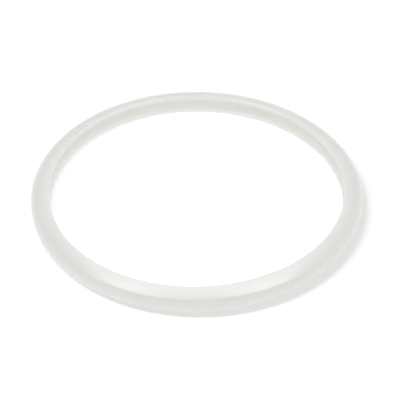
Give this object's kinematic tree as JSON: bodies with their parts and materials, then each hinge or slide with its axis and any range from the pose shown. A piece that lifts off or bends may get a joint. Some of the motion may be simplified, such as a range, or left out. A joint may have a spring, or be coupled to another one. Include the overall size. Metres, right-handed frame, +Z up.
{
  "type": "pressure cooker sealing ring",
  "caption": "Translucent silicone sealing ring with a C-shaped section, a round back and two lips opening towards the centre.",
  "frame": {"origin": "on the ring's axis, in the plane that the lower lip rests on", "axes": "+Z up along the ring's axis, the way it lies on a table; X and Y are any two directions across the ring"},
  "size_m": [0.248, 0.248, 0.0157],
  "materials": {
    "silicone": "milky translucent, satin"
  },
  "bodies": {
    "root": {"sealing_ring": "silicone"}
  },
  "joints": []
}
